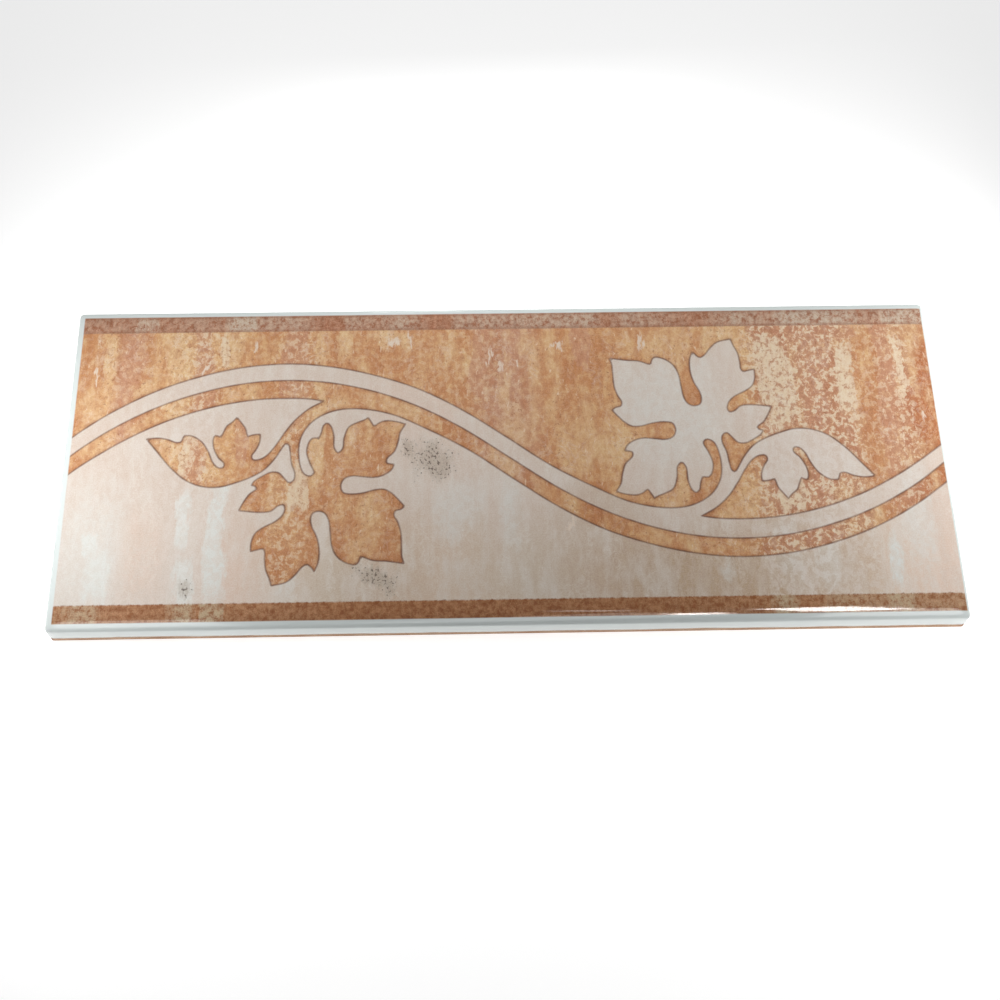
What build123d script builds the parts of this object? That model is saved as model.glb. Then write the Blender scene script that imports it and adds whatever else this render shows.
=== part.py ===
"""Glazed ceramic border tile, 200 x 80 mm, for running end to end along a tiled wall.

One dry-pressed and fired body. The face is flat in the middle, falls gently along all four
edges and rolls over a small nose into the sides. The sides have a straight land, where the
neighbouring tile or trim comes up to it, and lean in below that land, as a pressed body does.
The back has a waffle of shallow pockets that the adhesive keys into.

Millimetres. X runs along the border, +Y is the border's upper edge, +Z leaves the glazed face.
The origin is the middle of the back, on the plane that the lands between the pockets share.
"""

from build123d import *
from math import cos, radians, sin
import os

# Body
length = 200.0
width = 80.0
thickness = 7.0
corner_radius = 1.0

# Edge of the glazed face
crown_reach = 4.0
crown_angle = 12.0
nose_radius = 0.9

# Sides
side_land_start = 2.0
back_inset = 0.4

# Keying pockets in the back
back_margin = 5.0
pocket_pitch = 18.0
pocket_land = 3.0
pocket_depth = 0.9
pocket_flank_angle = 30.0
pocket_corner_radius = 1.5

NODE = "border_tile"


def edge_section(half_size, half_run):
    """Prism of the tile's cross-section: half_size each side of the middle, half_run long each way.

    The crown and the nose are two arcs that meet at crown_angle below level, so the face runs
    into the side with no step.
    """
    slope = radians(crown_angle)
    crown_radius = nose_radius + (crown_reach - nose_radius) / sin(slope)
    crown_start = half_size - crown_reach
    crown_drop = crown_radius * (1 - cos(slope))
    nose_height = thickness - crown_drop - nose_radius * cos(slope)
    joint = (
        half_size - nose_radius * (1 - sin(slope)),
        nose_height + nose_radius * cos(slope),
    )
    crown_middle = (
        crown_start + crown_radius * sin(slope / 2),
        thickness - crown_radius * (1 - cos(slope / 2)),
    )
    nose_turn = (slope + radians(90)) / 2
    nose_middle = (
        half_size - nose_radius * (1 - sin(nose_turn)),
        nose_height + nose_radius * cos(nose_turn),
    )
    with BuildSketch() as section:
        with BuildLine():
            Polyline(
                (0, thickness),
                (0, 0),
                (half_size - back_inset, 0),
                (half_size, side_land_start),
                (half_size, nose_height),
            )
            ThreePointArc((half_size, nose_height), nose_middle, joint)
            ThreePointArc(joint, crown_middle, (crown_start, thickness))
            Line((crown_start, thickness), (0, thickness))
        make_face()
        mirror(about=Plane.YZ)
    return extrude(section.sketch, amount=half_run, both=True)


def pressed_body():
    """The body without its pockets: where the two cross-sections and the plan outline meet."""
    across_y = Plane.XZ * edge_section(length / 2, width)
    across_x = Plane.YZ * edge_section(width / 2, length)
    plan = extrude(RectangleRounded(length, width, corner_radius), amount=thickness)
    return across_y & across_x & plan


def keying_pockets():
    """Pockets that narrow inwards, in a grid with an even number along the tile.

    The even number leaves a land across the middle of the back.
    """
    field_x = length - 2 * back_margin
    field_y = width - 2 * back_margin
    along = 2 * round(field_x / pocket_pitch / 2)
    across = round(field_y / pocket_pitch)
    pitch_x = (field_x + pocket_land) / along
    pitch_y = (field_y + pocket_land) / across
    mouth = RectangleRounded(pitch_x - pocket_land, pitch_y - pocket_land, pocket_corner_radius)
    pocket = extrude(mouth, amount=pocket_depth, taper=pocket_flank_angle)
    return [place * pocket for place in GridLocations(pitch_x, pitch_y, along, across)]


tile = pressed_body() - keying_pockets()

os.makedirs("parts", exist_ok=True)
export_step(tile, f"parts/{NODE}.step")
print(f"{NODE}: solids {len(tile.solids())}, volume {tile.volume:.0f} mm3, size {tile.bounding_box().size}")
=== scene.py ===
"""Looks of the glazed border tile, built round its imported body.

The tile shows two surfaces. The glazed face is the coat of glaze: the printed face, its rolled
edge, and the sides down to the uneven line where the glaze stopped running. The biscuit body is
the bare pressed clay below that line, with the keyed back.
"""

import math

import bmesh
import bpy
import numpy as np
from mathutils import Matrix, Vector, noise


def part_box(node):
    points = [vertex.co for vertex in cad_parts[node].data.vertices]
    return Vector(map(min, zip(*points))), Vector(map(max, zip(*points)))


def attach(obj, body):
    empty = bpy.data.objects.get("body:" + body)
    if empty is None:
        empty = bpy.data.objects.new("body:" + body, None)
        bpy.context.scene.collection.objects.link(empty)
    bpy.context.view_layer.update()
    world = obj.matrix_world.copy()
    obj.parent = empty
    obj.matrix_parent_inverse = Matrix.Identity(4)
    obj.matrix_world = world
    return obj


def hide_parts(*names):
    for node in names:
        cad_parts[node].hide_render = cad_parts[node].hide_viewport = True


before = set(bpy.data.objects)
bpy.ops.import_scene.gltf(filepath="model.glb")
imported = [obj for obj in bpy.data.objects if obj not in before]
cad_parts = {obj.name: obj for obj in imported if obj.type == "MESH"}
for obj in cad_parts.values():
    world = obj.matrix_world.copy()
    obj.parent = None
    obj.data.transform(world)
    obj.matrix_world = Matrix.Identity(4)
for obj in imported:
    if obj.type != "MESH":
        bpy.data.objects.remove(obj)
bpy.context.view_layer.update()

MM = 0.001

# The rolled edge of the face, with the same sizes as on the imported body
CROWN_REACH = 4.0 * MM
CROWN_ANGLE = math.radians(12.0)
NOSE_RADIUS = 0.9 * MM
CORNER_RADIUS = 1.0 * MM

# The glaze coat: where it ends on the sides, how that end wanders, and how deep and how long the
# waves of its face are
GLAZE_THICKNESS = 0.25 * MM
GLAZE_END = 2.6 * MM
GLAZE_END_WANDER = 0.5 * MM
GLAZE_WAVE = 0.016 * MM
LONG_WAVE = 14 * MM
SHORT_WAVE = 5 * MM
LONG_WANDER = 17 * MM
SHORT_WANDER = 3 * MM
GRID_STEP = 0.5 * MM
SIDE_STEPS = 4
END_STEPS = 3

# The biscuit body: how far it is drawn in under the glaze and at its bare sides
BODY_UNDER_GLAZE = 1.1 * GLAZE_THICKNESS
BODY_SIDE_INSET = 0.15 * MM
MERGE_DISTANCE = 0.002 * MM
SHARP_EDGE_ANGLE = math.radians(35)

# Where the print lies on the face, in millimetres from the middle of the tile
PRINT_LEFT = -98.5
PRINT_RIGHT = 99.3
PRINT_BOTTOM = -38.4
PRINT_TOP = 38.4
TOP_STRIPE_EDGE = 34.0
BOTTOM_STRIPE_EDGE = -34.25
SCROLL_MIDDLE = (0.85, 0.1)

# How far from a printed line its distance is kept, and half of how wide each edge of the print
# blurs, in millimetres
LINE_REACH = 3.0
PRINT_BLUR = 0.12
BORDER_BLUR = 0.15
SCROLL_BLUR = 0.07

# How far the print's edges and patches are pushed about, in slow drifts and in frayed ends
DRIFT_REACH = (5.0, 14.0, 0.0)
FRAY_REACH = (5.0, 9.0, 0.0)

# The heights between which the pale stone turns to the colours of its foot, which darken it towards
# the bottom: the print's tan with painted shade over it
SHADED_FOOT_TOP = -8.0
SHADED_FOOT_FULL = -27.0

# The darker line along each side of the upper border: how far in it is full, and where it ends
RIM_FULL = 0.3
RIM_END = 0.9

# The outline of the scroll, in millimetres from the middle of the tile. Marble lies above it and
# pale stone below it. Each row is one smooth stretch, and the rows meet in sharp corners. The
# first row comes in from the left, over the crest of the wave and round the first bay.
SCROLL_OUTLINE = (
    ((-104, 2.4), (-98.3, 6.9), (-90, 13.0), (-80, 18.5), (-70, 22.2), (-60, 24.5), (-49, 25.2),
     (-39, 24.1), (-30, 21.9), (-20, 18.2), (-10, 12.6), (0, 5.5), (10, -1.9), (20, -7.7),
     (28, -11.5), (36.5, -13.0), (42, -12.1), (46.2, -9.3), (48.4, -5.1), (48.4, 0.3),
     (47.3, 3.4), (45.8, 4.1), (45.0, 3.3), (46.0, 0.8), (46.8, -2.1), (46.3, -4.6), (45.6, -5.5)),
    # big leaf, from its stem round to the small leaf
    ((45.6, -5.5), (44.8, -5.5), (44.2, -5.3)),
    ((44.2, -5.3), (43.6, -6.9), (43.2, -8.7), (42.4, -9.3), (41.5, -8.5), (40.8, -6.1),
     (40.6, -2.9), (39.7, -1.7), (38.7, -2.7), (38.4, -5.5), (37.4, -8.2), (35.4, -9.4),
     (33.9, -10.0), (33.0, -10.6)),
    ((33.0, -10.6), (32.3, -9.4), (31.6, -8.4), (30.5, -9.2), (29.0, -9.7), (26.8, -9.5),
     (24.5, -8.8)),
    ((24.5, -8.8), (25.7, -6.7), (26.1, -4.5), (27.0, -1.8), (28.6, -0.1), (28.7, 1.0),
     (28.0, 1.3), (27.0, 1.4)),
    ((27.0, 1.4), (27.6, 2.8), (29.4, 4.1), (31.4, 4.6), (34.2, 4.4), (36.4, 4.2), (38.2, 4.9),
     (38.9, 6.7), (38.3, 8.3), (36.8, 8.7), (34.0, 8.5), (31.0, 7.7), (29.0, 7.7), (27.4, 8.7),
     (26.0, 10.2), (24.6, 11.9)),
    ((24.6, 11.9), (25.4, 12.6), (26.7, 13.0), (26.9, 14.1), (26.1, 15.7), (25.4, 18.1),
     (25.2, 21.9), (25.1, 24.1), (24.6, 25.7)),
    ((24.6, 25.7), (28.4, 25.1), (31.6, 24.8), (33.6, 24.0), (34.2, 23.9)),
    ((34.2, 23.9), (34.6, 25.2), (35.2, 25.8), (37.4, 25.3), (39.4, 23.7), (40.5, 21.3),
     (40.9, 18.3), (41.4, 14.9), (42.3, 13.3), (43.6, 12.8), (44.9, 13.2), (45.4, 14.7),
     (45.0, 16.7), (43.9, 19.1), (43.3, 21.9), (43.4, 25.1), (44.2, 27.3)),
    ((44.2, 27.3), (44.9, 26.3), (45.8, 25.6), (46.8, 26.1), (48.4, 28.1), (50.2, 29.7),
     (53.4, 30.5)),
    ((53.4, 30.5), (53.9, 28.8), (54.7, 26.9), (55.1, 24.3), (55.2, 22.3), (55.7, 21.7),
     (56.6, 21.9), (58.3, 22.3)),
    ((58.3, 22.3), (58.2, 19.9), (57.4, 17.9), (55.6, 16.5), (53.2, 15.2), (51.6, 13.6),
     (51.2, 11.9), (51.6, 11.1), (52.8, 11.4), (54.2, 12.6), (56.4, 12.9), (61.4, 12.4)),
    ((61.4, 12.4), (60.4, 10.3), (59.2, 8.4), (58.2, 7.6), (57.6, 7.1)),
    ((57.6, 7.1), (58.0, 6.5), (58.9, 6.2)),
    # small leaf, over its back to the tip and under it to its stem
    ((58.9, 6.2), (58.4, 5.3), (56.6, 4.0), (54.6, 3.0), (52.9, 3.2), (51.6, 4.6), (50.5, 5.7),
     (49.5, 5.1), (49.3, 3.4), (50.1, 0.9), (50.5, -1.9), (50.9, -3.8), (51.6, -4.2),
     (52.3, -3.3), (53.9, -0.5), (56.3, 2.4), (59.0, 4.1), (62.4, 5.5), (66.0, 6.5), (69.6, 6.4),
     (73.6, 4.8), (77.4, 1.4), (80.4, -2.3), (83.2, -5.8)),
    ((83.2, -5.8), (80.6, -6.0), (78.4, -5.6), (76.4, -4.8), (75.3, -5.0), (75.0, -5.9),
     (74.7, -6.6)),
    ((74.7, -6.6), (72.9, -6.4), (70.6, -4.8), (69.0, -2.3), (67.9, 0.3), (66.6, 1.7),
     (65.5, 1.7), (65.3, 0.7), (66.7, -0.9), (67.9, -3.5), (68.1, -5.5), (67.8, -6.5)),
    ((67.8, -6.5), (67.0, -6.3), (66.4, -5.9)),
    ((66.4, -5.9), (65.7, -7.7), (65.2, -8.9), (64.0, -9.9), (63.0, -11.1)),
    ((63.0, -11.1), (61.8, -9.5), (60.9, -8.1), (60.6, -6.9), (60.3, -6.1)),
    ((60.3, -6.1), (59.2, -6.5), (57.5, -6.7)),
    ((57.5, -6.7), (57.5, -4.9), (58.3, -2.7), (59.2, -1.2), (58.8, -0.2), (57.2, -0.3),
     (55.6, -1.4), (53.9, -3.7), (52.0, -6.9), (49.6, -10.3), (46.6, -13.1), (43.2, -15.1)),
    # trough of the wave and out at the right
    ((43.2, -15.1), (47.0, -15.7), (52.0, -15.9), (58.0, -15.7), (65.0, -14.7), (72.0, -12.9),
     (80.0, -9.9), (88.0, -5.7), (95.0, -1.1), (99.5, 2.3), (104, 6.0)),
)

# The line down the middle of the wave, from the left to SCROLL_MIDDLE. The rest is its half turn.
WAVE_MIDDLE = (
    (-104, -2.7), (-98.3, 2.1), (-90, 8.4), (-80, 14.0), (-70, 17.8), (-60, 20.1), (-50, 20.8),
    (-40, 20.0), (-30, 17.6), (-20, 13.6), (-10, 7.9), SCROLL_MIDDLE,
)

# The photograph's camera: its place in millimetres, its turn in degrees, its lens in millimetres
CAMERA_PLACE = (-7.1, -154.9, 315.3)
CAMERA_TURN = (25.11, -0.50, -1.12)
CAMERA_LENS = 54.9

# How bright the surroundings are as a light and as the camera sees them, and the floor's glow
WORLD_STRENGTH = 0.05
WORLD_SEEN_STRENGTH = 0.95
FLOOR_GLOW = 0.75
FLOOR_HALF_SIZE = 3.0


def srgb(code):
    """Linear colour of an sRGB hex code such as "#D69C68"."""
    channels = [int(code[i:i + 2], 16) / 255 for i in (1, 3, 5)]
    return [c / 12.92 if c <= 0.04045 else ((c + 0.055) / 1.055) ** 2.4 for c in channels] + [1.0]


def add(tree, kind, *inputs, output=0, stops=(), **named):
    """Adds a shader node and returns one of its outputs.

    inputs go into its sockets in their order, where None leaves a socket as it is. named gives a
    socket or a setting of that name its value, and stops are a ramp's places and colours.
    """
    made = tree.nodes.new("ShaderNode" + kind)
    given = dict(enumerate(inputs))
    for name, value in named.items():
        if name in made.inputs:
            given[name] = value
        else:
            setattr(made, name, value)
    for socket, value in given.items():
        if isinstance(value, bpy.types.NodeSocket):
            tree.links.new(value, made.inputs[socket])
        elif value is not None:
            made.inputs[socket].default_value = value
    for number, (place, colour) in enumerate(stops):
        if number > 1:
            made.color_ramp.elements.new(place)
        made.color_ramp.elements[number].position = place
        made.color_ramp.elements[number].color = colour
    return made.outputs[output] if made.outputs else None


def new_material(name):
    """A material with an empty node tree, and the tree."""
    material = bpy.data.materials.new(name)
    material.use_nodes = True
    material.node_tree.nodes.clear()
    return material, material.node_tree


def add_shader(tree, inputs):
    """Gives the material its surface shader."""
    add(tree, "OutputMaterial", add(tree, "BsdfPrincipled", **inputs))


def smooth_stretch(points, steps=8):
    """Points along a smooth curve through the given ones, a centripetal Catmull-Rom spline."""
    given = np.array(points, float)
    padded = np.vstack([2 * given[0] - given[1], given, 2 * given[-1] - given[-2]])
    hops = np.diff(padded, axis=0)
    gaps = np.sqrt(np.linalg.norm(hops, axis=1))[:, None]
    rates = hops / gaps
    slopes = (rates[:-1] * gaps[1:] + rates[1:] * gaps[:-1]) / (gaps[:-1] + gaps[1:])
    share = np.linspace(0, 1, steps, endpoint=False)[:, None]
    made = []
    for number in range(len(given) - 1):
        start = given[number]
        hop, gap = hops[number + 1], gaps[number + 1]
        leave, arrive = slopes[number] * gap, slopes[number + 1] * gap
        bend = 3 * hop - 2 * leave - arrive
        twist = leave + arrive - 2 * hop
        made.append(start + share * leave + share ** 2 * bend + share ** 3 * twist)
    return np.vstack(made + [given[-1:]])


def half_turn(points):
    """The same points turned by half a turn about the middle of the scroll."""
    return 2 * np.array(SCROLL_MIDDLE) - np.array(points, float)


def scroll_lines():
    """The three printed lines: marble to pale stone, pale to marble, and marble to pale again."""
    upper = np.vstack([smooth_stretch(stretch) for stretch in SCROLL_OUTLINE])
    right_half = half_turn(WAVE_MIDDLE)[::-1][1:]
    middle = smooth_stretch(np.vstack([WAVE_MIDDLE, right_half]))
    return upper, middle, half_turn(upper)


def scroll_distance(places):
    """Distance in mm from each place to the nearest printed line, below zero on pale stone.

    A printed line between a place and the top of the tile changes marble to pale or back.
    """
    order = np.argsort(places[:, 0])
    x, y = places[order].T
    nearest = np.full(len(x), LINE_REACH)
    crossed = np.zeros(len(x), int)
    for line in scroll_lines():
        for (ax, ay), (dx, dy) in zip(line[:-1], np.diff(line, axis=0)):
            left, right = sorted((ax, ax + dx))
            near = slice(*np.searchsorted(x, (left - LINE_REACH, right + LINE_REACH)))
            away_x, away_y = x[near] - ax, y[near] - ay
            along = np.clip((away_x * dx + away_y * dy) / max(dx * dx + dy * dy, 1e-12), 0, 1)
            distance = np.hypot(away_x - along * dx, away_y - along * dy)
            nearest[near] = np.minimum(nearest[near], distance)
            under = slice(*np.searchsorted(x, (left, right)))
            height = ay + (x[under] - ax) * dy / (dx or 1.0)
            crossed[under] += height > y[under]
    distances = np.empty(len(x))
    distances[order] = np.where(crossed % 2 == 1, -nearest, nearest)
    return distances


def edge_section(inset):
    """Rings of the coat's surface, from the flat of the face outwards: (reach, height, tilt).

    reach is how far a ring lies outside the flat, tilt is how far the surface there leans, and
    inset is how deep the surface lies under the outside of the glaze.
    """
    rings = []
    crown_radius = NOSE_RADIUS + (CROWN_REACH - NOSE_RADIUS) / math.sin(CROWN_ANGLE)
    crown_drop = crown_radius * (1 - math.cos(CROWN_ANGLE))
    nose_height = thickness - crown_drop - NOSE_RADIUS * math.cos(CROWN_ANGLE)
    crown_steps = 7 if inset == 0 else 2
    for number in range(1, crown_steps + 1):
        tilt = CROWN_ANGLE * number / crown_steps
        radius = crown_radius - inset
        height = thickness - crown_radius + radius * math.cos(tilt)
        rings.append((radius * math.sin(tilt), height, tilt))
    nose_steps = 8 if inset == 0 else 3
    for number in range(1, nose_steps + 1):
        tilt = CROWN_ANGLE + (math.pi / 2 - CROWN_ANGLE) * number / nose_steps
        radius = NOSE_RADIUS - inset
        reach = CROWN_REACH - NOSE_RADIUS + radius * math.sin(tilt)
        rings.append((reach, nose_height + radius * math.cos(tilt), tilt))
    return rings


def side_section():
    """Rings below the nose: down the side, and under the rounded end of the glaze.

    Each is (reach, share, drop): share is how far the ring has come from the nose to the uneven
    end of the glaze, and drop is how far it lies below that.
    """
    rings = [(CROWN_REACH, number / SIDE_STEPS, 0.0) for number in range(1, SIDE_STEPS + 1)]
    for number in range(1, END_STEPS + 1):
        turn = math.pi / 2 * number / END_STEPS
        reach = CROWN_REACH - GLAZE_THICKNESS * (1 - math.cos(turn))
        rings.append((reach, 1.0, GLAZE_THICKNESS * math.sin(turn)))
    return rings


def ring_place(share_x, share_y, reach):
    """Where a ring's point lies in plan.

    share_x and share_y give its place on the outline of the flat.
    """
    half_x = half_length - CROWN_REACH + reach
    half_y = half_width - CROWN_REACH + reach
    x = share_x * half_x
    y = share_y * half_y
    radius = CORNER_RADIUS * min(1.0, reach / CROWN_REACH)
    middle_x = half_x - radius
    middle_y = half_y - radius
    if radius > 0 and abs(x) > middle_x and abs(y) > middle_y:
        out = Vector((abs(x) - middle_x, abs(y) - middle_y))
        out = out.normalized() * radius
        x = math.copysign(middle_x + out.x, x)
        y = math.copysign(middle_y + out.y, y)
    return x, y


def wave_depth(x, y):
    """How far the fired glaze has sunk at a place, between nothing and GLAZE_WAVE.

    The third number of each vector picks a part of the noise that nothing else uses.
    """
    long_wave = noise.noise(Vector((x, y, 0.0)) / LONG_WAVE)
    short_wave = noise.noise(Vector((x, y, 3.0)) / SHORT_WAVE)
    return GLAZE_WAVE * (0.5 + 0.38 * long_wave + 0.12 * short_wave)


def glaze_end(x, y):
    """Height on the sides at which the glaze stops, above the back of the tile."""
    long_wander = noise.noise(Vector((x, y, 7.0)) / LONG_WANDER)
    short_wander = noise.noise(Vector((x, y, 9.0)) / SHORT_WANDER)
    return GLAZE_END + GLAZE_END_WANDER * (0.8 * long_wander + 0.3 * short_wander)


def outer_ring(bm, edges, place, share_x, share_y):
    """Extrudes a loop of edges, puts each new point where place says, and returns the new loop."""
    made = bmesh.ops.extrude_edge_only(bm, edges=edges)["geom"]
    for vert in (item for item in made if isinstance(item, bmesh.types.BMVert)):
        vert.co = place(vert[share_x], vert[share_y])
    fresh = [item for item in made if isinstance(item, bmesh.types.BMEdge)]
    return [edge for edge in fresh if edge.is_boundary]


def glaze_coat():
    """The whole coat as one closed skin: the face, the rolled edge, its lower end and its inside."""
    flat_x = half_length - CROWN_REACH
    flat_y = half_width - CROWN_REACH
    bm = bmesh.new()
    bmesh.ops.create_grid(
        bm,
        x_segments=round(2 * flat_x / GRID_STEP),
        y_segments=round(2 * flat_y / GRID_STEP),
        size=1.0,
        matrix=Matrix.Diagonal((flat_x, flat_y, 1.0, 1.0)),
    )
    share_x = bm.verts.layers.float.new("share_x")
    share_y = bm.verts.layers.float.new("share_y")
    for vert in bm.verts:
        vert[share_x] = vert.co.x / flat_x
        vert[share_y] = vert.co.y / flat_y
        vert.co.z = thickness - wave_depth(vert.co.x, vert.co.y)

    outside = edge_section(0.0)
    inside = edge_section(GLAZE_THICKNESS)
    nose_height = outside[-1][1]
    edges = [edge for edge in bm.edges if edge.is_boundary]

    def sloping(reach, height, tilt):
        def place(sx, sy):
            x, y = ring_place(sx, sy, reach)
            sunk = wave_depth(x, y)
            x, y = ring_place(sx, sy, reach - sunk * math.sin(tilt))
            return Vector((x, y, height - sunk * math.cos(tilt)))
        return place

    def upright(reach, share, drop):
        def place(sx, sy):
            x, y = ring_place(sx, sy, reach)
            end = glaze_end(x, y)
            return Vector((x, y, nose_height + (end - nose_height) * share - drop))
        return place

    def buried(reach, height):
        def place(sx, sy):
            x, y = ring_place(sx, sy, reach)
            return Vector((x, y, height))
        return place

    for reach, height, tilt in outside:
        edges = outer_ring(bm, edges, sloping(reach, height, tilt), share_x, share_y)
    for reach, share, drop in side_section():
        edges = outer_ring(bm, edges, upright(reach, share, drop), share_x, share_y)
    for reach, height, tilt in reversed(inside):
        edges = outer_ring(bm, edges, buried(reach, height), share_x, share_y)
    edges = outer_ring(bm, edges, buried(0.0, thickness - GLAZE_THICKNESS), share_x, share_y)
    bmesh.ops.contextual_create(bm, geom=edges)
    bmesh.ops.recalc_face_normals(bm, faces=bm.faces)
    return bm


def finished_piece(name, bm, material, body="root"):
    """Turns a bmesh into a smooth-shaded piece at the origin that rides on the tile's body."""
    mesh = bpy.data.meshes.new(name)
    bm.to_mesh(mesh)
    bm.free()
    piece = bpy.data.objects.new(name, mesh)
    bpy.context.scene.collection.objects.link(piece)
    mesh.materials.append(material)
    mesh.shade_smooth()
    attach(piece, body)
    return piece


def glazed_face():
    """The glaze coat, with the distance to the printed scroll kept on its points."""
    piece = finished_piece("glazed_face", glaze_coat(), printed_glaze())
    mesh = piece.data
    places = np.empty(len(mesh.vertices) * 3)
    mesh.vertices.foreach_get("co", places)
    plan = places.reshape(-1, 3)[:, :2] / MM
    scroll = mesh.attributes.new("scroll_distance", "FLOAT", "POINT")
    scroll.data.foreach_set("value", scroll_distance(plan))
    for spare in ("share_x", "share_y"):
        mesh.attributes.remove(mesh.attributes[spare])
    return piece


def biscuit_body():
    """The fired clay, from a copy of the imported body, drawn in under the glaze."""
    bm = bmesh.new()
    bm.from_mesh(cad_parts["border_tile"].data)
    bmesh.ops.remove_doubles(bm, verts=bm.verts, dist=MERGE_DISTANCE)
    bm.normal_update()
    surely_bare = GLAZE_END - 2 * GLAZE_END_WANDER
    reach_x = half_length - BODY_SIDE_INSET
    reach_y = half_width - BODY_SIDE_INSET
    for vert in bm.verts:
        if vert.co.z > surely_bare:
            vert.co -= vert.normal * BODY_UNDER_GLAZE
        vert.co.x = math.copysign(min(abs(vert.co.x), reach_x), vert.co.x)
        vert.co.y = math.copysign(min(abs(vert.co.y), reach_y), vert.co.y)
    for edge in bm.edges:
        edge.smooth = edge.calc_face_angle(math.pi) < SHARP_EDGE_ANGLE
    piece = finished_piece("biscuit_body", bm, pressed_biscuit())
    return piece


# The colours of the print and of its glaze
AMBER = srgb("#D39B6E")
ORANGE = srgb("#CE9466")
HONEY = srgb("#DDAC7C")
CREAM = srgb("#EAD6BA")
TERRACOTTA = srgb("#CF9F83")
ROSE = srgb("#D09D7F")
SIENNA = srgb("#B97450")
BURNT_SIENNA = srgb("#B87248")
STRAW = srgb("#E8C598")
CARAMEL = srgb("#C2835B")
VANILLA = srgb("#EFD9BD")
RUST = srgb("#B37855")
CURD_BROWN = srgb("#BF896C")
BLUSH = srgb("#DECDBF")
IVORY = srgb("#E4DACF")
FROST = srgb("#E5E5DF")
PEACH = srgb("#E3CDBD")
LINEN = srgb("#DFD3C8")
WHEAT = srgb("#DEC9B5")
SAND = srgb("#D8C7B4")
DUNE = srgb("#D1BAA4")
TAN = srgb("#C9B097")
SHELL = srgb("#ECD6C6")
PALE_CURD = srgb("#EAE1D9")
CHALK = srgb("#EEE7DD")
SCAR_CREAM = srgb("#EAD9C8")
PORE_HAZE = srgb("#AE9E8C")
PORE_BROWN = srgb("#5A4A42")
UMBER = srgb("#836050")
GLAZE_WHITE = srgb("#E4EBE9")

# The darker and the lighter brown of each border, and what its paler lengths turn to
UPPER_BROWNS = (srgb("#9F664C"), srgb("#C6977B"))
UPPER_PALE = srgb("#CEBBA7")
UPPER_RIM = srgb("#A3745D")
LOWER_BROWNS = (srgb("#935B39"), srgb("#BD8961"))
LOWER_PALE = srgb("#C3AB8C")

# The marble's ground: where each colour is reached, in millimetres from the middle
MARBLE_BANDS = (
    (-99, ORANGE), (-94, AMBER), (-91, HONEY), (-88, TERRACOTTA), (-82, ORANGE), (-80, HONEY),
    (-60, HONEY), (-55, ORANGE), (-46, AMBER), (-8, AMBER), (-3, TERRACOTTA), (3, TERRACOTTA),
    (10, AMBER), (20, ORANGE), (28, HONEY), (38, AMBER), (44, AMBER), (50, HONEY), (56, HONEY),
    (60, ROSE), (80, ROSE), (82.5, AMBER), (85, ORANGE), (91, ROSE), (94, SIENNA),
    (99, BURNT_SIENNA),
)

# The pale stone's ground along the foot of the tile: the print's tan and peach, with painted shade
# that makes it darkest in the middle and palest at the ends
PALE_FOOT_SHADE_BANDS = (
    (-98, LINEN), (-70, LINEN), (-60, PEACH), (-40, SAND), (-31, DUNE), (-14, WHEAT), (4, SAND),
    (20, DUNE), (34, TAN), (58, TAN), (68, DUNE), (80, WHEAT), (97, SHELL),
)

# How strongly the marble and the pale stone are curdled along the tile
CURDLING = (
    (-98, 0.2), (-88, 0.35), (-80, 0.25), (-70, 0.8), (-64, 0.35), (-55, 0.2), (-50, 0.6),
    (-46, 0.6), (-43, 0.3), (-28, 0.25), (-6, 0.35), (10, 0.15), (40, 0.15), (54, 0.3), (58, 0.9),
    (65, 1.0), (80, 1.0), (83, 0.3), (86, 0.5), (93, 0.8), (95, 0.3),
)

# How pale the browned marble of the upper and the lower border is along the tile
UPPER_PALENESS = (
    (-98, 0.2), (-87.5, 0.2), (-86.7, 0.55), (-81.3, 0.6), (-80.5, 0.1), (-71, 0.3), (-64.7, 0.2),
    (-64, 0.9), (-58.5, 0.9), (-57.7, 0.4), (-49, 0.45), (-42, 0.0), (-37, 0.0), (-36, 0.4),
    (-29, 0.25), (-23, 0.6), (-17.5, 0.0), (-12.5, 0.0), (-11.5, 0.4), (13, 0.5), (21, 0.6),
    (24, 0.0), (29, 0.5), (46, 0.05), (54, 0.6), (64, 0.3), (67, 0.8), (83, 0.65), (86, 0.3),
    (90, 0.4), (91, 0.75), (98, 0.75),
)
LOWER_PALENESS = (
    (-98, 0.2), (-95.6, 0.15), (-94.8, 0.6), (-90, 0.55), (-89, 0.1), (-74, 0.05), (-73, 0.75),
    (-69, 0.8), (-68.5, 0.05), (-67.2, 0.05), (-66.4, 0.75), (-61.6, 0.7), (-61, 0.1), (-44, 0.05),
    (-40, 0.0), (20, 0.0), (44, 0.05), (56.5, 0.1), (57.5, 0.75), (62, 0.75), (63, 0.1), (68.5, 0.1),
    (70, 0.5), (81, 0.35), (83, 0.7), (88.5, 0.7), (89.5, 0.25), (98, 0.35),
)

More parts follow.
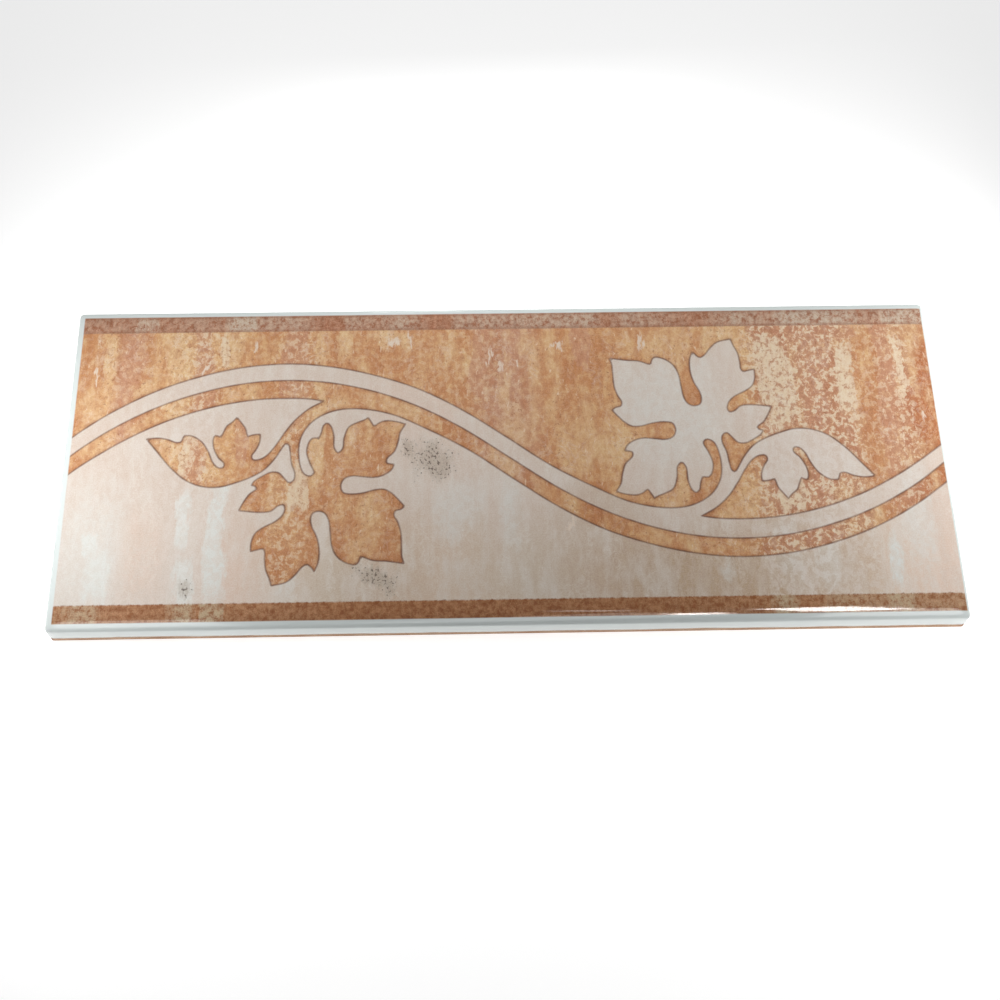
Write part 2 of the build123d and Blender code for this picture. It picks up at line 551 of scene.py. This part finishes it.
# Ragged patches on the print, as (x, y, half width, half height) in millimetres
CREAM_PATCHES = (
    (62.5, 18, 4.5, 13), (79.5, 19, 2.4, 9), (91.8, 22, 0.9, 9), (64, -12, 3.5, 4),
    (92.5, -4.5, 1.5, 2.5), (-46.5, -8, 2.3, 8), (-72.0, 4, 2.0, 7), (-65, 28, 1.2, 6),
)
YELLOW_PATCHES = (
    (-76, 22, 3.0, 22), (-63, 28, 2.6, 12), (-43, 14, 1.8, 24), (-83.5, 18, 2.2, 3.5),
    (-37, 28, 2.4, 5), (-55, 6, 2.0, 5), (-26, 31, 5, 3), (50, 30, 4, 6), (-91, 26, 1.4, 6),
)
ROSE_PATCHES = (
    (-69.8, 14, 2.4, 30), (-48.7, 24, 2.6, 18), (71.5, 24, 4.0, 24),
    (88.3, 18, 2.4, 26), (-5.8, 27, 2.0, 12), (-85.7, 30, 3.2, 8), (2, 28, 1.5, 8), (18, 30, 2.2, 6),
    (-60, 3, 2.0, 6), (89.5, -5.5, 1.6, 3.0), (74, 32, 10, 3),
)
FROST_PATCHES = (
    (-90.3, -28, 3.6, 8), (-93, -20, 2, 3), (-71.2, -12, 2.0, 7.5), (-71, -28, 2.4, 8),
    (-64, -20, 2.6, 19), (85.5, -28, 2.0, 6.5),
)
HAZE_PATCHES = (
    (-92, -20, 10, 18), (-48, -30, 3, 6), (-11, -13, 7, 8), (38, 13, 16, 15), (1, -14, 3.0, 9),
    (48, -29, 2.4, 3), (62, -24, 3, 8), (70, -26, 3, 7), (91.5, -16, 4.0, 16),
)
TAN_PATCHES = ((21, -12, 12, 8), (50, -29, 15, 8), (76, -27, 7, 9))
PEACH_PATCHES = ((97, -20, 3.0, 26), (-80, -24, 7, 14), (-20, 14, 12, 9))
PORE_PATCHES = ((-16, 0, 6, 5.5), (-22, 3, 2.5, 2.5), (-29, -28, 6, 2.8), (-71, -29.5, 1.8, 3.2))
SCARS = (
    (-69.8, 24.3, 1.3, 1.2), (-25.5, 29.4, 1.5, 1.4), (-95, 21.6, 0.6, 1.6), (-57.8, 28.4, 0.6, 2.0),
    (31.8, 31.0, 0.6, 2.5), (12.7, 28.0, 1.0, 0.9), (-3.5, 25.8, 0.5, 2.0), (-1.0, 23.0, 0.5, 2.0),
    (14.3, -17.2, 1.0, 1.0), (3.0, 22.0, 0.4, 1.5), (96.5, 11.0, 0.6, 1.5), (-21.7, 32.5, 0.5, 1.4),
)


def spot_in_mm(tree):
    """The place on the object, in millimetres."""
    place = add(tree, "TexCoord", output="Object")
    return add(tree, "Mapping", place, Scale=(1 / MM, 1 / MM, 1 / MM))


def along_ramp(rows, as_colour=lambda value: value):
    """Stops for a ramp that runs from the tile's left end to its right end."""
    return [(0.5 + x * MM / (2 * half_length), as_colour(value)) for x, value in rows]


def grey(value):
    """A grey of that strength, for a ramp that gives a number."""
    return (value, value, value, 1.0)


def ragged_spot(tree, spot, upright):
    """The place on the tile, pushed about so that what is drawn there has ragged upright edges."""
    drift = add(tree, "TexNoise", upright, Scale=1 / 9, Detail=2.0, output="Color")
    fray = add(tree, "TexNoise", upright, Scale=1 / 1.7, Detail=4.0, Roughness=0.7, output="Color")
    pushed = add(tree, "VectorMath", drift, DRIFT_REACH, spot, operation="MULTIPLY_ADD")
    pushed = add(tree, "VectorMath", fray, FRAY_REACH, pushed, operation="MULTIPLY_ADD")
    # a noise of colours lies about 0.5, so half of both reaches comes off again
    mean_push = [(drift_by + fray_by) / 2 for drift_by, fray_by in zip(DRIFT_REACH, FRAY_REACH)]
    return add(tree, "VectorMath", pushed, mean_push, operation="SUBTRACT")


def patches(tree, ragged, places):
    """How deep a place lies in the nearest of some blunt oval patches, from 0 at its rim to 1."""
    nearest = 1.0
    for x, y, half_wide, half_high in places:
        scale = (1 / half_wide, 1 / half_high, 0.0)
        shift = (-x / half_wide, -y / half_high, 0.0)
        within = add(tree, "VectorMath", ragged, scale, shift, operation="MULTIPLY_ADD")
        blunt = add(tree, "VectorMath", within, within, operation="MULTIPLY")
        away = add(tree, "VectorMath", blunt, operation="LENGTH", output="Value")
        nearest = add(tree, "Math", away, nearest, operation="MINIMUM")
    return add(tree, "Math", 1.0, nearest, operation="SUBTRACT", use_clamp=True)


def in_patches(tree, place, places, soft=0.3, strength=1.0):
    """How strongly a place is coloured by some patches. soft is how deep into them that is full."""
    deep = patches(tree, place["ragged"], places)
    return add(tree, "MapRange", deep, 0.03, 0.03 + soft, 0.0, strength)


def clouded(tree, colour, field, strength):
    """The colour, turned paler where a noise is high and browner where it is low."""
    light = add(tree, "MapRange", field, 0.51, 0.61, 0.0, strength)
    colour = add(tree, "MixRGB", light, colour, STRAW)
    dark = add(tree, "MapRange", field, 0.48, 0.38, 0.0, strength)
    return add(tree, "MixRGB", dark, colour, CARAMEL)


def marble(tree, place):
    """The printed marble: amber, honey and terracotta, with upright rosy and cream patches."""
    colour = add(tree, "ValToRGB", place["band"], stops=along_ramp(MARBLE_BANDS))
    # soft columns 8 mm wide, then clouds 4 mm wide
    column = add(tree, "TexNoise", place["upright"], Scale=1 / 8, Detail=2.0)
    colour = clouded(tree, colour, column, 0.45)
    cloud = add(tree, "TexNoise", place["upright"], Scale=1 / 4, Detail=6.0, Roughness=0.72)
    colour = clouded(tree, colour, cloud, 0.42)
    # the larger patches
    yellow = in_patches(tree, place, YELLOW_PATCHES, soft=0.5, strength=0.7)
    colour = add(tree, "MixRGB", yellow, colour, STRAW)
    creamy = in_patches(tree, place, CREAM_PATCHES, soft=0.35)
    rosy = in_patches(tree, place, ROSE_PATCHES, soft=0.25)
    colour = add(tree, "MixRGB", add(tree, "Math", creamy, 0.7, operation="MULTIPLY"), colour, CREAM)
    colour = add(tree, "MixRGB", add(tree, "Math", rosy, 0.7, operation="MULTIPLY"), colour, ROSE)
    # blots a millimetre or two across
    blot = add(tree, "TexNoise", place["even"], Scale=1 / 1.9, Detail=5.0, Roughness=0.65)
    colour = clouded(tree, colour, blot, 0.32)

    # curds of cream and brown a millimetre or so across, more cream or brown as the patches are
    coarse = {"Detail": 4.0, "Roughness": 0.7, "Distortion": 0.4}
    curd = add(tree, "TexNoise", place["even"], Scale=1 / 1.4, **coarse)
    curd = add(tree, "Math", creamy, 0.035, curd, operation="MULTIPLY_ADD")
    curd = add(tree, "Math", rosy, -0.015, curd, operation="MULTIPLY_ADD")
    cream = add(tree, "MapRange", curd, 0.505, 0.56, 0.0, 0.85)
    cream = add(tree, "Math", cream, place["curdling"], operation="MULTIPLY")
    colour = add(tree, "MixRGB", cream, colour, CREAM)
    brown = add(tree, "MapRange", curd, 0.49, 0.43, 0.0, 0.7)
    brown = add(tree, "Math", brown, place["curdling"], operation="MULTIPLY")
    colour = add(tree, "MixRGB", brown, colour, CURD_BROWN)

    # rusty specks half a millimetre across, in loose drifts
    speck = add(tree, "TexNoise", place["even"], Scale=1 / 0.8, Detail=3.0, Roughness=0.6)
    speck = add(tree, "MapRange", speck, 0.57, 0.67, 0.0, 0.7, interpolation_type="SMOOTHSTEP")
    drift = add(tree, "TexNoise", place["upright"], Scale=1 / 5.2, Detail=2.0)
    drift = add(tree, "MapRange", drift, 0.44, 0.56, interpolation_type="SMOOTHSTEP")
    speck = add(tree, "Math", speck, drift, operation="MULTIPLY")
    colour = add(tree, "MixRGB", speck, colour, RUST)
    # cream flecks half a millimetre wide and up to two high
    fine = {"Detail": 3.0, "Roughness": 0.65, "Distortion": 0.4}
    fleck = add(tree, "TexNoise", place["upright"], Scale=1 / 0.9, **fine)
    fleck = add(tree, "MapRange", fleck, 0.635, 0.70, 0.0, 0.7)
    return add(tree, "MixRGB", fleck, colour, VANILLA)


def pale_stone(tree, place):
    """The printed pale stone: ivory clouds on a tan and peachy foot, and frosty patches. The foot is
    partly painted shade, darker towards the bottom and most in the middle.
    """
    # towards the bottom the stone takes the foot's colours, the print's tan with painted shade laid
    # over it
    low = add(tree, "SeparateXYZ", place["ragged"], output="Y")
    low = add(tree, "MapRange", low, SHADED_FOOT_TOP, SHADED_FOOT_FULL, interpolation_type="SMOOTHSTEP")
    foot_and_shade = add(tree, "ValToRGB", place["band"], stops=along_ramp(PALE_FOOT_SHADE_BANDS))
    colour = add(tree, "MixRGB", low, BLUSH, foot_and_shade)
    cloud = add(tree, "TexNoise", place["upright"], Scale=1 / 3.6, Detail=6.0, Roughness=0.62)
    cloud = add(tree, "MapRange", cloud, 0.45, 0.62, 0.0, 0.6)
    colour = add(tree, "MixRGB", cloud, colour, IVORY)
    curly = {"Detail": 3.0, "Roughness": 0.6, "Distortion": 0.5}
    curd = add(tree, "TexNoise", place["even"], Scale=1 / 1.6, **curly)
    curd = add(tree, "MapRange", curd, 0.46, 0.56)
    patchy = add(tree, "MapRange", curd, 0.0, 1.0, 0.6, 1.0)
    for places, on_them, soft, strength in (
        (PEACH_PATCHES, PEACH, 0.7, 0.75), (TAN_PATCHES, TAN, 0.9, 0.55),
        (HAZE_PATCHES, FROST, 0.8, 0.5), (FROST_PATCHES, FROST, 0.6, 1.0),
    ):
        share = in_patches(tree, place, places, soft, strength)
        share = add(tree, "Math", share, patchy, operation="MULTIPLY")
        colour = add(tree, "MixRGB", share, colour, on_them)
    # paler curds in the stone, a millimetre or two across
    strength = add(tree, "MapRange", place["curdling"], 0.3, 1.0, 0.1, 0.42)
    curd = add(tree, "Math", curd, strength, operation="MULTIPLY")
    return add(tree, "MixRGB", curd, colour, PALE_CURD)


def curls(tree, place, on_marble):
    """Short pale curls half a millimetre wide, on the pale stone and more faintly on the marble."""
    field = add(tree, "TexNoise", place["even"], Scale=1 / 3.1, Detail=2.0, Distortion=1.3)
    field = add(tree, "Math", field, 0.5, operation="SUBTRACT")
    field = add(tree, "Math", field, operation="ABSOLUTE")
    line = add(tree, "MapRange", field, 0.055, 0.015, 0.0, 1.0, interpolation_type="SMOOTHSTEP")
    kept = add(tree, "TexNoise", place["upright"], Scale=1 / 3.7, Detail=1.0)
    kept = add(tree, "MapRange", kept, 0.47, 0.62, interpolation_type="SMOOTHSTEP")
    line = add(tree, "Math", line, kept, operation="MULTIPLY")
    strength = add(tree, "MapRange", on_marble, 0.0, 1.0, 0.24, 0.14)
    return add(tree, "Math", line, strength, operation="MULTIPLY")


def dark_pores(tree, place, colour):
    """Puts on clusters of pores 0.2 to 0.5 mm across, in a haze, like the holes in travertine."""
    cluster = patches(tree, place["ragged"], PORE_PATCHES)
    haze = add(tree, "MapRange", cluster, 0.1, 1.0, 0.0, 0.45, interpolation_type="SMOOTHSTEP")
    colour = add(tree, "MixRGB", haze, colour, PORE_HAZE)
    pore = add(tree, "TexNoise", place["even"], Scale=1 / 0.65, Detail=2.0, Roughness=0.6)
    pore = add(tree, "Math", cluster, 0.13, pore, operation="MULTIPLY_ADD")
    pore = add(tree, "MapRange", pore, 0.65, 0.74, 0.0, 0.72, interpolation_type="SMOOTHSTEP")
    inside = add(tree, "MapRange", cluster, 0.0, 0.15)
    pore = add(tree, "Math", pore, inside, operation="MULTIPLY")
    return add(tree, "MixRGB", pore, colour, PORE_BROWN)


def border(tree, place, browns, paler, paleness, curd):
    """One printed border, flecked with two browns, and paler along some lengths."""
    fleck = add(tree, "MapRange", curd, 0.38, 0.62)
    brown = add(tree, "MixRGB", fleck, browns[0], browns[1])
    pale = add(tree, "ValToRGB", place["band"], stops=along_ramp(paleness, grey))
    fleck = add(tree, "MapRange", curd, 0.41, 0.56, 0.2, 1.4)
    pale = add(tree, "Math", pale, fleck, operation="MULTIPLY", use_clamp=True)
    return add(tree, "MixRGB", pale, brown, paler)


def borders(tree, place, colour):
    """Puts on the upper and the lower border. The upper one has a darker line along each side."""
    curd = add(tree, "TexNoise", place["even"], Scale=1 / 1.3, Detail=5.0, Roughness=0.75)
    upper = border(tree, place, UPPER_BROWNS, UPPER_PALE, UPPER_PALENESS, curd)
    into = add(tree, "Math", place["y"], (TOP_STRIPE_EDGE + PRINT_TOP) / 2, operation="SUBTRACT")
    into = add(tree, "Math", into, operation="ABSOLUTE")
    half_high = (PRINT_TOP - TOP_STRIPE_EDGE) / 2
    inner, outer = half_high - RIM_END, half_high - RIM_FULL
    rim = add(tree, "MapRange", into, inner, outer, 0.0, 0.5)
    upper = add(tree, "MixRGB", rim, upper, UPPER_RIM)
    lower = border(tree, place, LOWER_BROWNS, LOWER_PALE, LOWER_PALENESS, curd)

    fuzz = add(tree, "MapRange", curd, 0.3, 0.7, -0.2, 0.2)
    frayed = add(tree, "Math", place["y"], fuzz, operation="ADD")
    outer, inner = TOP_STRIPE_EDGE - BORDER_BLUR, TOP_STRIPE_EDGE + BORDER_BLUR
    above = add(tree, "MapRange", place["y"], outer, inner, 0.0, 0.97)
    outer, inner = BOTTOM_STRIPE_EDGE + BORDER_BLUR, BOTTOM_STRIPE_EDGE - BORDER_BLUR
    below = add(tree, "MapRange", frayed, outer, inner, 0.0, 0.97)
    colour = add(tree, "MixRGB", above, colour, upper)
    return add(tree, "MixRGB", below, colour, lower)


def printed_area(tree, place):
    """1 where the face is printed, 0 on the white glaze left round the print."""
    inside = 1.0
    for value, edge, inwards in (
        (place["x"], PRINT_LEFT, PRINT_BLUR), (place["x"], PRINT_RIGHT, -PRINT_BLUR),
        (place["y"], PRINT_BOTTOM, PRINT_BLUR), (place["y"], PRINT_TOP, -PRINT_BLUR),
    ):
        side = add(tree, "MapRange", value, edge - inwards, edge + inwards)
        inside = add(tree, "Math", side, inside, operation="MULTIPLY")
    return inside


def printed_glaze():
    """Gloss wall-tile glaze, screen printed and fired.

    The eye sees soft-edged marble and pale stone sunk in white glass, under one sharp reflection
    that the slow waves of the glaze bend a little.
    """
    material, tree = new_material("screen_printed_gloss_glaze")
    spot = spot_in_mm(tree)
    # two flat parts of the noise: one draws its marks out upright, the other leaves them nearly even
    upright = add(tree, "Mapping", spot, (510.0, 90.0, 0.0), None, (1.0, 0.3, 0.0))
    even = add(tree, "Mapping", spot, (730.0, 410.0, 0.0), None, (1.0, 0.85, 0.0))
    ragged = ragged_spot(tree, spot, upright)
    band = add(tree, "SeparateXYZ", ragged)
    share = MM / (2 * half_length)
    band = add(tree, "Math", band, share, 0.5, operation="MULTIPLY_ADD", use_clamp=True)
    place = {
        "x": add(tree, "SeparateXYZ", spot, output="X"),
        "y": add(tree, "SeparateXYZ", spot, output="Y"),
        "upright": upright,
        "even": even,
        "ragged": ragged,
        "band": band,
        "curdling": add(tree, "ValToRGB", band, stops=along_ramp(CURDLING, grey)),
    }
    scroll = add(tree, "Attribute", attribute_name="scroll_distance", output="Fac")

    stone = marble(tree, place)
    pale = pale_stone(tree, place)
    on_marble = add(tree, "MapRange", scroll, -SCROLL_BLUR, SCROLL_BLUR)
    colour = add(tree, "MixRGB", on_marble, pale, stone)
    colour = add(tree, "MixRGB", curls(tree, place, on_marble), colour, CHALK)
    scars = in_patches(tree, place, SCARS, soft=0.7, strength=0.85)
    colour = add(tree, "MixRGB", scars, colour, SCAR_CREAM)
    colour = dark_pores(tree, place, colour)

    # the outline is an umber line 0.4 mm wide, with a patchy rusty shade beside it on the marble
    shade = add(tree, "MapRange", scroll, 0.2, 1.0, 0.6, 0.0, interpolation_type="SMOOTHSTEP")
    patchy = add(tree, "TexNoise", place["even"], Scale=1 / 4, Detail=3.0)
    patchy = add(tree, "MapRange", patchy, 0.42, 0.62)
    shade = add(tree, "Math", shade, patchy, operation="MULTIPLY")
    shade = add(tree, "Math", shade, on_marble, operation="MULTIPLY")
    colour = add(tree, "MixRGB", shade, colour, RUST)
    apart = add(tree, "Math", scroll, operation="ABSOLUTE")
    outline = add(tree, "MapRange", apart, 0.33, 0.07, interpolation_type="SMOOTHSTEP")
    strength = add(tree, "MapRange", patchy, 0.0, 1.0, 0.62, 0.88)
    outline = add(tree, "Math", outline, strength, operation="MULTIPLY")
    colour = add(tree, "MixRGB", outline, colour, UMBER)
    colour = borders(tree, place, colour)

    # mottling a millimetre wide, and print dots a quarter of a millimetre across
    mottle = add(tree, "TexNoise", place["upright"], Scale=1 / 1.2, Detail=5.0, Roughness=0.78)
    depth = add(tree, "MapRange", on_marble, 0.0, 1.0, 0.2, 0.45)
    colour = add(tree, "MixRGB", depth, colour, mottle, blend_type="OVERLAY")
    dots = add(tree, "TexNoise", place["even"], Scale=1 / 0.28, Detail=1.0)
    colour = add(tree, "MixRGB", 0.3, colour, dots, blend_type="OVERLAY")
    colour = add(tree, "MixRGB", printed_area(tree, place), GLAZE_WHITE, colour)

    # orange peel: swells 2.5 mm apart and 3 micrometres high, as a fired gloss has
    peel = add(tree, "TexNoise", spot, Scale=1 / 2.5, Detail=1.0)
    peel = add(tree, "Bump", Distance=0.006 * MM, Height=peel)
    # a film of wiping marks, a little duller in patches
    film = add(tree, "TexNoise", upright, Scale=1 / 6.0, Detail=3.0)
    film = add(tree, "MapRange", film, 0.35, 0.65, 0.045, 0.085)
    add_shader(tree, {"Base Color": colour, "Roughness": film, "IOR": 1.5, "Normal": peel})
    return material


def pressed_biscuit():
    """Dry-pressed clay, fired once.

    The eye sees a dull pinkish buff with sandy grain and pits, a few iron specks, whitish kiln wash
    rubbed on the lands of the back, and a darker rim below the glaze that is partly glaze soaked in
    and partly painted shade along the top of the bare side.
    """
    material, tree = new_material("dry_pressed_once_fired_biscuit")
    spot = spot_in_mm(tree)
    height = add(tree, "SeparateXYZ", spot, output="Z")
    # firing clouds 8 mm wide and sandy grain half a millimetre wide
    cloud = add(tree, "TexNoise", spot, Scale=1 / 8, Detail=3.0)
    cloud = add(tree, "MapRange", cloud, 0.35, 0.65)
    colour = add(tree, "MixRGB", cloud, srgb("#BE9578"), srgb("#CFAE93"))
    grain = add(tree, "TexNoise", spot, Scale=1 / 0.5, Detail=4.0, Roughness=0.7)
    colour = add(tree, "MixRGB", 0.45, colour, grain, blend_type="OVERLAY")
    # iron specks up to 0.4 mm across
    speck = add(tree, "TexVoronoi", spot, Scale=1 / 1.6)
    speck = add(tree, "MapRange", speck, 0.14, 0.09, 0.0, 0.75)
    colour = add(tree, "MixRGB", speck, colour, srgb("#7C5139"))
    # kiln wash on the lands, worn through in patches
    wash = add(tree, "TexNoise", spot, Scale=1 / 4, Detail=5.0, Roughness=0.7)
    wash = add(tree, "MapRange", wash, 0.42, 0.60, 0.0, 0.65)
    lands = add(tree, "MapRange", height, 0.12, 0.02)
    wash = add(tree, "Math", wash, lands, operation="MULTIPLY")
    colour = add(tree, "MixRGB", wash, colour, srgb("#E3DACD"))
    # the darker rim under the glaze, in millimetres above the back: glaze soaked into the clay, and
    # painted shade along the top of the bare side
    drift = add(tree, "Math", cloud, 0.4, height, operation="MULTIPLY_ADD")
    soaked_and_shaded = add(tree, "MapRange", drift, 1.5, 2.6, 0.0, 0.6, interpolation_type="SMOOTHSTEP")
    colour = add(tree, "MixRGB", soaked_and_shaded, colour, srgb("#94684C"))

    # pits a third of a millimetre across and a few hundredths deep
    pit = add(tree, "TexNoise", spot, Scale=1 / 0.33, Detail=3.0, Roughness=0.65)
    pit = add(tree, "MapRange", pit, 0.35, 0.55)
    pit = add(tree, "Bump", Strength=0.8, Distance=0.04 * MM, Height=pit)
    dull = add(tree, "MapRange", soaked_and_shaded, 0.0, 0.6, 0.88, 0.7)
    add_shader(tree, {"Base Color": colour, "Roughness": dull, "IOR": 1.5, "Normal": pit})
    return material


def pale_floor():
    """A plain pale studio floor, lit a little from below so that it stays pale all over."""
    material, tree = new_material("backlit_white_acrylic")
    add_shader(tree, {
        "Base Color": srgb("#F2F2F1"), "Roughness": 0.9,
        "Emission Color": srgb("#FFFFFF"), "Emission Strength": FLOOR_GLOW,
    })
    bm = bmesh.new()
    bmesh.ops.create_grid(bm, x_segments=1, y_segments=1, size=FLOOR_HALF_SIZE)
    mesh = bpy.data.meshes.new("floor")
    bm.to_mesh(mesh)
    bm.free()
    floor = bpy.data.objects.new("floor", mesh)
    mesh.materials.append(material)
    bpy.context.scene.collection.objects.link(floor)


def soft_lamp(name, place, size, power, mirrored=False):
    """A rectangular soft lamp at a place in metres, facing the tile, that no view shows.

    A mirrored lamp shows in the gloss of the glaze and lights nothing. Another lights the tile and
    isn't mirrored.
    """
    lamp = bpy.data.lights.new(name, "AREA")
    lamp.shape = "RECTANGLE"
    lamp.size, lamp.size_y = size
    lamp.energy = power
    holder = bpy.data.objects.new(name, lamp)
    holder.location = place
    holder.rotation_euler = (-Vector(place)).to_track_quat("-Z", "Y").to_euler()
    holder.visible_camera = False
    holder.visible_glossy = mirrored
    holder.visible_diffuse = not mirrored
    bpy.context.scene.collection.objects.link(holder)


def studio():
    """Pale surroundings, soft lamps close round the tile, and far ones that its gloss mirrors."""
    world = bpy.data.worlds.new("studio")
    bpy.context.scene.world = world
    world.use_nodes = True
    tree = world.node_tree
    tree.nodes.clear()
    around = add(tree, "Background", srgb("#F4F6F8"), WORLD_STRENGTH)
    seen = add(tree, "Background", srgb("#F6F6F6"), WORLD_SEEN_STRENGTH)
    shown = add(tree, "MixShader", add(tree, "LightPath"), around, seen)
    add(tree, "OutputWorld", shown)
    soft_lamp("left_lamp", (-0.105, -0.002, 0.066), (0.08, 0.08), 0.066)
    soft_lamp("right_lamp", (0.114, 0.016, 0.06), (0.08, 0.08), 0.054)
    soft_lamp("back_lamp", (-0.002, 0.074, 0.061), (0.10, 0.10), 0.044)
    soft_lamp("middle_lamp", (-0.004, -0.002, 0.05), (0.03, 0.03), 0.0012)
    soft_lamp("front_lamp_left", (-0.120, -0.088, 0.05), (0.06, 0.06), 0.009)
    soft_lamp("front_lamp_right", (0.125, -0.085, 0.06), (0.06, 0.06), 0.028)
    # far lamps, mirrored as short bright lines in the rolled edges
    soft_lamp("far_lamp_1", (0.13, 0.27, 1.46), (0.10, 0.04), 0.06, mirrored=True)
    soft_lamp("far_lamp_2", (0.25, 0.08, 1.46), (0.06, 0.06), 0.30, mirrored=True)
    soft_lamp("far_lamp_3", (0.41, 0.19, 1.44), (0.17, 0.12), 1.6, mirrored=True)
    soft_lamp("far_lamp_4", (-0.04, 0.474, 0.255), (0.05, 0.03), 0.05, mirrored=True)
    soft_lamp("left_window", (-0.85, 0.43, 0.49), (0.40, 0.05), 0.25, mirrored=True)
    soft_lamp("right_window", (0.85, 0.43, 0.49), (0.40, 0.05), 0.45, mirrored=True)
    soft_lamp("near_wall", (0.0, -1.2, 1.0), (3.0, 1.4), 14.0, mirrored=True)
    # the pale ceiling, mirrored along the near edge of the tile and brightest towards its ends
    soft_lamp("ceiling", (0.05, -0.06, 1.5), (0.50, 0.22), 0.7, mirrored=True)
    soft_lamp("ceiling_left", (-0.42, -0.06, 1.5), (0.44, 0.22), 1.1, mirrored=True)
    soft_lamp("ceiling_right", (0.52, -0.06, 1.5), (0.44, 0.22), 1.2, mirrored=True)
    bpy.context.scene.view_settings.view_transform = "Standard"


def camera():
    """The camera at the photograph's viewing angle."""
    data = bpy.data.cameras.new("camera")
    data.lens = CAMERA_LENS
    data.sensor_width = 36.0
    holder = bpy.data.objects.new("camera", data)
    holder.location = Vector(CAMERA_PLACE) * MM
    holder.rotation_euler = [math.radians(angle) for angle in CAMERA_TURN]
    bpy.context.scene.collection.objects.link(holder)
    bpy.context.scene.camera = holder


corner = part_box("border_tile")[1]
half_length, half_width, thickness = corner

face = glazed_face()
biscuit_body()
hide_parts("border_tile")
pale_floor()
studio()
camera()
